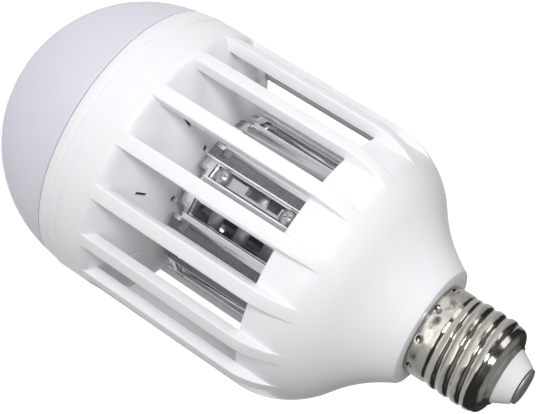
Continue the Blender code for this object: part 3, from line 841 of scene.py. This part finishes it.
def makeCage(c):
    pitch = 2 * turn / c["flats"]
    apothem = c["radius"] * math.cos(pitch / 4)
    halfFlat = c["radius"] * math.sin(pitch / 4)
    step = c["pressWidth"]
    halfHole = c["holeSize"] / 2
    halfNotch = c["notchWidth"] / 2
    notchStart = c["end"] - c["notchDepth"]
    low, high = c["stripEdges"]
    windowEdges = (low - step - c["margins"][0], high + step + c["margins"][1])

    def place(s, drop, inward=0.0):
        # s runs round the flats in mm from the strip's middle
        side = 0
        if abs(s) > halfFlat:
            side = 1 if s > 0 else -1
        deep = not low - step / 2 < s < high + step / 2 and c["recessStart"] < drop < c["recessEnd"]
        r = apothem - (c["recessDepth"] if deep else 0.0) - inward
        y = s - side * 2 * halfFlat
        a = side * pitch / 2
        return (
            (r * math.cos(a) - y * math.sin(a)) * mm,
            (r * math.sin(a) + y * math.cos(a)) * mm,
            heightOf(drop),
        )

    # a column or a row at every edge, fold and bend of the flat sheet
    columns = [-2 * halfFlat, 2 * halfFlat, -halfFlat, halfFlat, -halfHole, halfHole, 0, c["lineWidth"]]
    columns += [low - step, low, low + c["highlightWidth"], high - c["highlightWidth"], high, high + step, *windowEdges]
    columns += [-halfFlat - halfNotch, -halfFlat + halfNotch]
    columns.sort()
    rows = [c["start"], c["windowStart"], c["windowEnd"], notchStart, c["end"]]
    rows += [c["holeDrop"] - halfHole, c["holeDrop"] + halfHole]
    for fold in (c["recessStart"], c["recessEnd"]):
        rows += [fold - step / 2, fold + step / 2]
    rows.sort()

    def isOpen(s, drop):
        if c["windowStart"] < drop < c["windowEnd"] and not windowEdges[0] < s < windowEdges[1]:
            return True
        if abs(s) < halfHole and abs(drop - c["holeDrop"]) < halfHole:
            return True
        return abs(s + halfFlat) < halfNotch and drop > notchStart

    steels = (gridSteel, ribbedSteel, shearedEdge, shadeLineSteel)

    def steelAt(s, drop):
        # the flat bands along the strip's edges are painted near white as a highlight
        if low < s < low + c["highlightWidth"] or high - c["highlightWidth"] < s < high:
            return steels.index(shearedEdge)
        # the thin line at the strip's middle is painted shade
        if 0 < s < c["lineWidth"]:
            return steels.index(shadeLineSteel)
        return steels.index(ribbedSteel if 0 < s < high else gridSteel)

    bm, corners = sheetSector(columns, rows, place, isOpen, steelAt)
    # Each window's long edges are folded inwards as stiff flanges
    for s in windowEdges:
        k = columns.index(s)
        inWindow = [i for i, drop in enumerate(rows) if c["windowStart"] <= drop <= c["windowEnd"]]
        edge = [corners[i][k] for i in inWindow]
        fold = s + math.copysign(c["foldWidth"], s)
        folded = [bm.verts.new(place(fold, rows[i], c["flange"])) for i in inWindow]
        for i in range(len(edge) - 1):
            quad = [edge[i], edge[i + 1], folded[i + 1], folded[i]]
            bm.faces.new(quad if s > 0 else quad[::-1])
    piece = meshObject("cageSheet", bm, recalc=False)
    for steel in steels:
        piece.data.materials.append(steel)
    bakeTree(piece, ringOfSheets, {
        "Count": c["flats"] // 2, "First Angle": math.radians(c["firstStrip"]),
        "Join Distance": joinDistance, "Material": gridSteel,
    })
    # The sheet's ends lap over one window and close it
    bm = bmesh.new()
    bm.from_mesh(piece.data)
    turned = Matrix.Rotation(math.radians(c["seamAngle"]), 4, "Z")
    over = apothem + c["lapLift"]
    top = c["start"] + c["lapInset"]
    base = notchStart - c["lapInset"]
    lap = [(-halfFlat, top), (-halfFlat, base), (halfFlat, base), (halfFlat, top)]
    bm.faces.new([bm.verts.new(turned @ Vector((over * mm, y * mm, heightOf(drop)))) for y, drop in lap])
    # A few strips have neither ribs nor the painted shade line
    for face in bm.faces:
        middle = face.calc_center_median()
        angle = math.degrees(math.atan2(middle.y, middle.x))
        away = [abs((angle - strip + 180) % 360 - 180) for strip in c["plainStrips"]]
        if min(away) < math.degrees(pitch / 4) and steels[face.material_index] in (ribbedSteel, shadeLineSteel):
            face.material_index = steels.index(gridSteel)
    bm.to_mesh(piece.data)
    bm.free()
    thickenSheet(piece, c["sheet"], rimOffset=steels.index(shearedEdge))
    finishPiece(piece, ["grid_outer"], sharp=8)


makeCage(cage)

innerCage = {
    "radius": 20.0, "firstWindow": 299.25, "start": 34.1, "end": 69.0, "sheet": 0.45, "windows": 10,
    "windowWidth": 6.4, "rows": ((44.0, 48.6), (52.4, 57.0), (60.8, 64.6)),
}


def makeInnerCage(c):
    radius = c["radius"]

    def place(s, drop):
        return pointAt(radius, s / radius, drop)

    sector = turn / c["windows"] * radius / 2
    half = c["windowWidth"] / 2
    columns = [-sector, -(sector + half) / 2, -half, -half / 3, half / 3, half, (sector + half) / 2, sector]
    rows = sorted([c["start"], c["end"]] + [drop for row in c["rows"] for drop in row])

    def isOpen(s, drop):
        return abs(s) < half and any(a < drop < b for a, b in c["rows"])

    bm = sheetSector(columns, rows, place, isOpen)[0]
    piece = meshObject("innerCageSheet", bm, recalc=False)
    bakeTree(piece, ringOfCopies, {
        "Count": c["windows"], "First Angle": math.radians(c["firstWindow"]), "Join Distance": joinDistance,
        "Material": mattSteel,
    })
    thickenSheet(piece, c["sheet"])
    finishPiece(piece, ["grid_inner"], sharp=25)


makeInnerCage(innerCage)

gridPosts = {
    "plateRadius": 35.1, "plateBore": 4.0, "plateStart": 31.3, "plateEnd": 33.8, "angles": (90.0, 270.0),
    "postInner": 20.3, "postOuter": 23.9, "postWidth": 3.0, "postSink": 0.5, "postEnd": 66.3,
    "openStart": 43.6, "openEnd": 54.2, "railWidth": 0.8, "facets": 96,
}


def makePosts(g):
    # The white plate with its two posts. Between its screws each post is only a narrow rail.
    bm = bmesh.new()
    spinOutline(bm, [
        (g["plateBore"], g["plateStart"]), (g["plateRadius"], g["plateStart"]),
        (g["plateRadius"], g["plateEnd"]), (g["plateBore"], g["plateEnd"]),
    ], g["facets"])
    outer = g["postWidth"] / 2
    blocks = [
        (-outer, outer, g["plateEnd"] - g["postSink"], g["openStart"]),
        (-outer, outer, g["openEnd"], g["postEnd"]),
        (outer - g["railWidth"], outer, g["openStart"], g["openEnd"]),
    ]
    deep = g["postOuter"] - g["postInner"]
    radius = (g["postOuter"] + g["postInner"]) / 2
    for angle in g["angles"]:
        turned = Matrix.Rotation(math.radians(angle), 4, "Z")
        for left, right, top, base in blocks:
            size = (deep * mm, (right - left) * mm, (base - top) * mm)
            middle = (radius * mm, (left + right) / 2 * mm, heightOf((top + base) / 2))
            place = turned @ Matrix.Translation(middle) @ Matrix.Diagonal((*size, 1))
            bmesh.ops.create_cube(bm, size=1, matrix=place)
    finishPiece(meshObject("gridPosts", bm), ["grid_base"], shadedNylon)


makePosts(gridPosts)

gridScrews = {
    "angles": (270.0, 90.0), "drops": (40.6, 61.6), "seat": 23.95, "headRadius": 2.55, "headHeight": 1.9,
    "headRim": ((0.0, 0.35), (0.0, 0.08), (0.1, 0.0)),  # lengths inside the head's radius and over its seat
    "crossLength": 1.15, "crossWidth": 0.24, "crossDepth": 0.8, "crossTurn": 20.0, "shank": 1.0,
    "shankLength": 3.4, "facets": 40,
}


def makeGridScrews(g):
    # Pan heads with a cross recess, turned standing up and then laid into their places
    crown = (g["headRadius"] ** 2 + g["headHeight"] ** 2) / (2 * g["headHeight"])
    outline = [(0, -g["headHeight"])]
    for i in range(1, 12):
        a = math.asin(min(1.0, g["headRadius"] / crown)) * i / 12
        outline.append((crown * math.sin(a), -g["headHeight"] + crown * (1 - math.cos(a))))
    outline += [(g["headRadius"] - inward, -up) for inward, up in g["headRim"]]
    outline += [(g["shank"], 0), (g["shank"], g["shankLength"]), (0, g["shankLength"])]
    piece = spunObject("gridScrews", outline, g["facets"])
    tool = bmesh.new()
    arm = g["crossLength"]
    side = g["crossWidth"]
    corners = [(arm, -side), (arm, side), (side, side), (side, arm), (-side, arm), (-side, side)]
    corners += [(-arm, side), (-arm, -side), (-side, -side), (-side, -arm), (side, -arm), (side, -side)]
    base = heightOf(-g["headHeight"] + g["crossDepth"])
    cross = tool.faces.new([tool.verts.new((x * mm, y * mm, base)) for x, y in corners])
    raised = bmesh.ops.extrude_face_region(tool, geom=[cross])["geom"]
    lifted = [v for v in raised if isinstance(v, bmesh.types.BMVert)]
    bmesh.ops.translate(tool, verts=lifted, vec=(0, 0, 2 * g["crossDepth"] * mm))
    cutter = meshObject("crossTool", tool)
    bakeTree(piece, ringOfCuts, {
        "Tool": cutter, "Count": 1, "First Angle": math.radians(g["crossTurn"]), "Material": screwSteel,
    })
    bpy.data.objects.remove(cutter)
    stand = piece.data.copy()
    # The screw stands on the level of drop 0, and comes down to the origin before it is laid flat
    down = Matrix.Translation((0, 0, -heightOf(0)))
    lay = Matrix.Rotation(math.pi / 2, 4, "Y")
    bm = bmesh.new()
    for angle in g["angles"]:
        for drop in g["drops"]:
            out = Matrix.Translation((g["seat"] * mm, 0, heightOf(drop)))
            spot = Matrix.Rotation(math.radians(angle), 4, "Z") @ out @ lay @ down
            stand.transform(spot)
            bm.from_mesh(stand)
            stand.transform(spot.inverted())
    bm.to_mesh(piece.data)
    bm.free()
    bpy.data.meshes.remove(stand)
    finishPiece(piece, [f"grid_screw_{i}" for i in range(1, 5)], screwSteel)


makeGridScrews(gridScrews)


print("screw cap")

# Heights here are over the neck's end face
screwCap = {
    "crest": 13.1, "root": 12.55, "pitch": 3.63, "start": 6.3, "length": 13.6, "crestBreadth": 2.4,
    "band": 5.6, "bandInset": 0.2, "height": 23.2, "gap": 0.3, "bore": 11.7, "sheet": 0.6, "mouth": 8.3,
    "mouthEdge": ((0.25, 0.12), (0.0, 0.05)), "lip": 1.2, "underLip": 1.6, "endDrop": 3.4,
    "turnRise": 0.35, "turnInset": 0.15, "turnShare": 0.72, "boreEdge": (0.4, 0.8),
    "fineStep": 0.17, "fineEnd": 3.2, "step": 0.3, "facets": 144,
    "dimples": 9, "firstDimple": 257.0, "dimpleDrop": 1.7, "dimpleRadius": 1.15, "dimpleDepth": 0.7,
    "dimpleSpread": 0.55, "dimpleReach": 1.5,
}


def shellRadius(angle, above, s):
    # The thread swells out from its root, a plain band closes it off, and dimples are punched into the band
    swell = 0.0
    climb = above - s["start"]
    if 0 <= climb <= s["length"]:
        wave = 0.5 - 0.5 * math.cos(turn * (climb / s["pitch"] - angle / turn))
        wave = 1 - (1 - wave) ** s["crestBreadth"]
        fade = min(1.0, min(climb, s["length"] - climb) / (s["pitch"] / 2))
        swell = (s["crest"] - s["root"]) * wave * fade
    collar = (s["crest"] - s["bandInset"] - s["root"]) * min(1.0, max(0.0, s["band"] + 1 - above))
    radius = s["root"] + max(swell, collar)
    for i in range(s["dimples"]):
        centre = math.radians(s["firstDimple"]) + turn * i / s["dimples"]
        across = ((angle - centre + math.pi) % turn - math.pi) * s["crest"]
        away = math.hypot(across, above - s["dimpleDrop"])
        if away < s["dimpleRadius"] * s["dimpleReach"]:
            radius -= s["dimpleDepth"] * math.exp(-((away / (s["dimpleRadius"] * s["dimpleSpread"])) ** 2))
    return radius


def makeShell(s):
    end = s["height"] - s["endDrop"]
    levels = []
    above = s["gap"]
    while above < end:
        levels.append(above)
        above += s["fineStep"] if above < s["fineEnd"] else s["step"]
    levels.append(end)
    bm = bmesh.new()
    rings = []
    for above in levels:
        ring = []
        for k in range(s["facets"]):
            angle = turn * k / s["facets"]
            ring.append(bm.verts.new(pointAt(shellRadius(angle, above, s), angle, -above)))
        rings.append(ring)
    # the end turned in to the mouth, and the plain inside
    lip = s["mouth"] + s["lip"]
    rise = end + s["turnRise"]
    outline = []
    for i in range(9):
        a = math.pi / 2 * i / 8
        outline.append((
            lip + (s["root"] - s["turnInset"] - lip) * math.cos(a),
            rise + (s["endDrop"] * s["turnShare"] - s["turnRise"]) * math.sin(a),
        ))
    outline += [(s["mouth"] + outward, s["height"] - down) for outward, down in s["mouthEdge"]]
    outline += [(s["mouth"], s["height"] - s["sheet"]), (lip, s["height"] - s["underLip"])]
    inward, down = s["boreEdge"]
    outline += [(s["bore"] - inward, end), (s["bore"], end - down), (s["bore"], s["gap"])]
    rings += [addRing(bm, radius, -above, s["facets"]) for radius, above in outline]
    joinRings(bm, rings + rings[:1], s["facets"])
    finishPiece(meshObject("threadedShell", bm), ["screw_shell"], nickel)


makeShell(screwCap)


print("insulator and contact")

insulator = {
    "neck": 8.0, "tip": 5.4, "flange": 9.9, "flangeThickness": 1.5, "bore": 1.5, "contact": 0.8, "gap": 0.3,
    # lengths outside the radius and below the end that each point belongs to
    "coneStart": (-0.25, -0.35), "coneEnd": (0.2, 0.25), "tipEdge": ((0.15, 0.2), (-0.1, 0.0)), "facets": 72,
}


def makeInsulator(n, s):
    # Drops here are negative, because the cone stands over the shell
    mouth = -s["height"]
    top = -(capHeight - n["contact"] - n["gap"])
    flange = mouth + s["endDrop"] + s["sheet"]
    outline = [
        (n["bore"], flange + n["flangeThickness"]), (n["flange"], flange + n["flangeThickness"]),
        (n["flange"], flange), (n["neck"], mouth + s["sheet"] + n["gap"]), (n["neck"], mouth),
    ]
    start = (n["neck"] + n["coneStart"][0], mouth + n["coneStart"][1])
    end = (n["tip"] + n["coneEnd"][0], top + n["coneEnd"][1])
    for i in range(6):
        outline.append(tuple(a + (b - a) * i / 6 for a, b in zip(start, end)))
    outline += [(n["tip"] + outward, top + below) for outward, below in n["tipEdge"]]
    outline.append((n["bore"], top))
    piece = spunObject("insulatorCone", outline, n["facets"])
    finishPiece(piece, ["cap_insulator"], finishes["insulator_white"])


makeInsulator(insulator, screwCap)

contact = {
    "radius": 5.1, "thickness": 0.8, "rivet": 1.2, "rivetDrop": -19.8, "underEdge": 0.1,
    # lengths inside the contact's radius and below its face
    "rim": ((0.0, 0.45), (0.15, 0.25), (0.7, 0.03), (1.0, 0.0)), "facets": 64,
}


def makeContact(c):
    top = -capHeight
    under = top + c["thickness"]
    outline = [
        (0, c["rivetDrop"]), (c["rivet"], c["rivetDrop"]), (c["rivet"], under),
        (c["radius"] - c["underEdge"], under), (c["radius"], under - c["underEdge"]),
    ]
    outline += [(c["radius"] - inward, top + below) for inward, below in c["rim"]]
    outline.append((0, top))
    piece = spunObject("endContact", outline, c["facets"])
    finishPiece(piece, ["end_contact"], finishes["contact_metal"])


makeContact(contact)


print("light")

light = {
    "floorDrop": 135.9,
    "floorReach": 6000.0,
    "whiteGain": 3.1,
    "mirrorGain": 1.7,
    "horizon": 0.05,
    "ceiling": 0.5,
    "ceilingStart": 20.0,
    "ceilingFull": 60.0,
    "aimDrop": 60.0,
    "lamps": {
        # angle round the axis, height above the floor, distance from the axis, size, and power in W
        "keyLamp": (266.0, 470.0, 900.0, 360.0, 4.6),
        "sideLamp": (212.0, 300.0, 900.0, 500.0, 1.5),
        "frontLamp": (300.0, 70.0, 900.0, 500.0, 1.4),
    },
}


def makeLamps(values):
    target = Vector((0, 0, heightOf(values["aimDrop"])))
    ground = heightOf(values["floorDrop"])
    for name, (angle, height, distance, size, power) in values["lamps"].items():
        data = bpy.data.lights.new(name, "AREA")
        data.shape = "DISK"
        data.size = size * mm
        data.energy = power
        lamp = bpy.data.objects.new(name, data)
        a = math.radians(angle)
        lamp.location = (distance * mm * math.cos(a), distance * mm * math.sin(a), ground + height * mm)
        lamp.rotation_euler = (target - lamp.location).to_track_quat("-Z", "Y").to_euler()
        bpy.context.scene.collection.objects.link(lamp)


def makeFloor(values):
    # Matt white card. The camera sees it brighter, as white with its shadow, and mirrors see it less so.
    bm = bmesh.new()
    place = Matrix.Translation((0, 0, heightOf(values["floorDrop"])))
    bmesh.ops.create_grid(bm, x_segments=1, y_segments=1, size=values["floorReach"] * mm, matrix=place)
    floor = meshObject("floor", bm, recalc=False)
    material, tree, shader = newMaterial("mattCard", {"Base Color": hexColour("#F8F8F8"), "Roughness": 0.9})
    paths = addNode(tree, "ShaderNodeLightPath")
    white = (values["whiteGain"],) * 3 + (1.0,)
    seen = addNode(tree, "ShaderNodeBsdfDiffuse", {"Color": white})
    bright = (values["mirrorGain"],) * 3 + (1.0,)
    mirrored = addNode(tree, "ShaderNodeBsdfDiffuse", {"Color": bright})
    bounced = compute(tree, "MAXIMUM", paths.outputs["Is Glossy Ray"], paths.outputs["Is Transmission Ray"])
    inMirrors = addNode(tree, "ShaderNodeMixShader", {0: bounced, 1: shader, 2: mirrored})
    both = addNode(tree, "ShaderNodeMixShader", {0: paths.outputs["Is Camera Ray"], 1: inMirrors, 2: seen})
    setInputs(tree, tree.nodes["Material Output"], {"Surface": both})
    floor.data.materials.append(material)


def makeWorld(values):
    # A white ceiling over a dim room, so that metal has something dark to show
    world = bpy.data.worlds.new("studio")
    world.use_nodes = True
    tree = world.node_tree
    direction = addNode(tree, "ShaderNodeTexCoord")
    parts = addNode(tree, "ShaderNodeSeparateXYZ", {0: direction.outputs["Generated"]})
    level = addNode(
        tree, "ShaderNodeMapRange",
        {"Value": parts.outputs["Z"], "From Min": math.sin(math.radians(values["ceilingStart"])),
         "From Max": math.sin(math.radians(values["ceilingFull"])), "To Min": values["horizon"],
         "To Max": values["ceiling"]},
        interpolation_type="SMOOTHSTEP",
    )
    room = tree.nodes["Background"]
    setInputs(tree, room, {"Color": (1, 1, 1, 1), "Strength": level})
    paths = addNode(tree, "ShaderNodeLightPath")
    plain = addNode(tree, "ShaderNodeBackground", {"Color": (1, 1, 1, 1), "Strength": 1.0})
    both = addNode(tree, "ShaderNodeMixShader", {0: paths.outputs["Is Camera Ray"], 1: room, 2: plain})
    setInputs(tree, tree.nodes["World Output"], {"Surface": both})
    bpy.context.scene.world = world


makeLamps(light)
makeFloor(light)
makeWorld(light)

bpy.context.scene.view_settings.view_transform = "Standard"

print("done")
